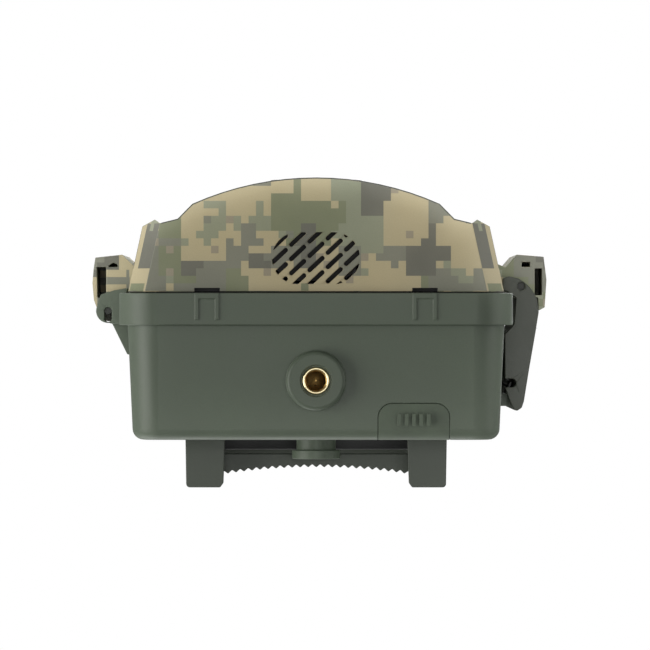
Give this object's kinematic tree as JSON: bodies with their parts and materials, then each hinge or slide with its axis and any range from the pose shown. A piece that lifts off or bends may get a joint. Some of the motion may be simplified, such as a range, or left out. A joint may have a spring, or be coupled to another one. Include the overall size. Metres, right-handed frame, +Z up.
{
  "type": "trail camera",
  "caption": "Weatherproof trail camera with a hinged front cover, side latch, toothed tree bracket, tripod sockets and a battery tray behind the door.",
  "frame": {"origin": "mouth of the tripod socket in the underside, on its axis", "axes": "+Z up along the tripod axis, lens looks along -Y, hinge at -X, latch at +X"},
  "size_m": [0.1261, 0.0856, 0.14],
  "materials": {
    "green_shell": "fine moulded texture, satin",
    "camo_shell": "printed square-cell camouflage, matt",
    "dark_plate": "fine moulded texture",
    "dark_lever": "fine moulded texture, satin",
    "black_plastic": "moulded, matt",
    "grey_plastic": "moulded, matt",
    "white_plastic": "thin translucent moulding",
    "black_rubber": "matt",
    "green_rubber": "matt",
    "brass": "turned, bright",
    "steel": "plain",
    "dark_steel": "blackened spring wire",
    "battery": "plain wrapped cell, no marks",
    "contact": "nickel plated",
    "board": "solder resist",
    "cable": "flat cable",
    "ir_glass": "dark infrared filter, glossy",
    "glass": "clear",
    "led": "clear tinted domes",
    "silicon": "glossy die under glass",
    "amber": "tinted light pipe",
    "card": "plain card"
  },
  "bodies": {
    "housing": {"rear_housing": "green_shell", "door_gasket": "black_rubber", "tripod_insert": "brass", "rear_insert": "brass", "tree_bracket": "green_shell", "bracket_screws": "dark_steel", "latch_keeper": "dark_steel", "battery_tray": "black_plastic", "battery_cells": "battery", "battery_springs": "contact", "battery_contacts": "contact", "battery_terminals": "contact", "tray_screws": "steel", "power_board": "board", "usb_socket": "steel", "board_screws": "steel", "flat_cable": "cable"},
    "socket_cover": {"usb_cover": "green_rubber"},
    "door": {"front_cover": "camo_shell", "front_plate": "dark_plate", "hinge_pin": "steel", "latch_pin": "steel", "ir_window": "ir_glass", "ir_board": "board", "ir_leds": "led", "front_screws": "steel", "lens_hood": "black_plastic", "lens_window": "glass", "lens_barrel": "black_plastic", "lens_elements": "glass", "image_sensor": "silicon", "pir_lens": "white_plastic", "pir_sensor": "steel", "light_sensor": "amber", "indicator_light": "amber", "main_board": "board", "speaker": "black_plastic", "grille_mesh": "black_plastic", "microphone": "steel", "display_module": "silicon", "display_window": "glass", "inner_panel": "black_plastic", "panel_screws": "steel", "card_socket": "steel", "mode_switch": "grey_plastic", "key_switches": "grey_plastic"},
    "up_key": {"key_up": "grey_plastic"},
    "down_key": {"key_down": "grey_plastic"},
    "left_key": {"key_left": "grey_plastic"},
    "right_key": {"key_right": "grey_plastic"},
    "ok_key": {"key_ok": "grey_plastic"},
    "menu_key": {"key_menu": "grey_plastic"},
    "play_key": {"key_play": "grey_plastic"},
    "switch_knob": {"mode_knob": "black_plastic"},
    "card": {"memory_card": "card"},
    "latch": {"latch_lever": "dark_lever"}
  },
  "joints": [
    {"name": "door_hinge", "type": "hinge", "parent": "housing", "child": "door", "pos_m": [-0.0576, -0.019, 0.07], "axis": [0, 0, -1], "range_deg": [0, 120], "deforming": ["latch_keeper", "flat_cable"]},
    {"name": "latch_pivot", "type": "hinge", "parent": "door", "child": "latch", "pos_m": [0.0567, -0.02585, 0.07], "axis": [0, 0, -1], "range_deg": [0, 55], "deforming": ["latch_keeper"]},
    {"name": "cover_hinge", "type": "hinge", "parent": "housing", "child": "socket_cover", "pos_m": [0.02655, 0.0152, 0.0094], "axis": [1, 0, 0], "range_deg": [0, 95]},
    {"name": "up_press", "type": "slide", "parent": "door", "child": "up_key", "axis": [0, -1, 0], "range_m": [0, 0.0006], "stiffness_N_per_m": 600},
    {"name": "down_press", "type": "slide", "parent": "door", "child": "down_key", "axis": [0, -1, 0], "range_m": [0, 0.0006], "stiffness_N_per_m": 600},
    {"name": "left_press", "type": "slide", "parent": "door", "child": "left_key", "axis": [0, -1, 0], "range_m": [0, 0.0006], "stiffness_N_per_m": 600},
    {"name": "right_press", "type": "slide", "parent": "door", "child": "right_key", "axis": [0, -1, 0], "range_m": [0, 0.0006], "stiffness_N_per_m": 600},
    {"name": "ok_press", "type": "slide", "parent": "door", "child": "ok_key", "axis": [0, -1, 0], "range_m": [0, 0.0006], "stiffness_N_per_m": 600},
    {"name": "menu_press", "type": "slide", "parent": "door", "child": "menu_key", "axis": [0, -1, 0], "range_m": [0, 0.0006], "stiffness_N_per_m": 600},
    {"name": "play_press", "type": "slide", "parent": "door", "child": "play_key", "axis": [0, -1, 0], "range_m": [0, 0.0006], "stiffness_N_per_m": 600},
    {"name": "mode_slide", "type": "slide", "parent": "door", "child": "switch_knob", "axis": [1, 0, 0], "range_m": [0, 0.005]},
    {"name": "card_slide", "type": "slide", "parent": "door", "child": "card", "axis": [0, 0, -1], "range_m": [0, 0.018]}
  ]
}
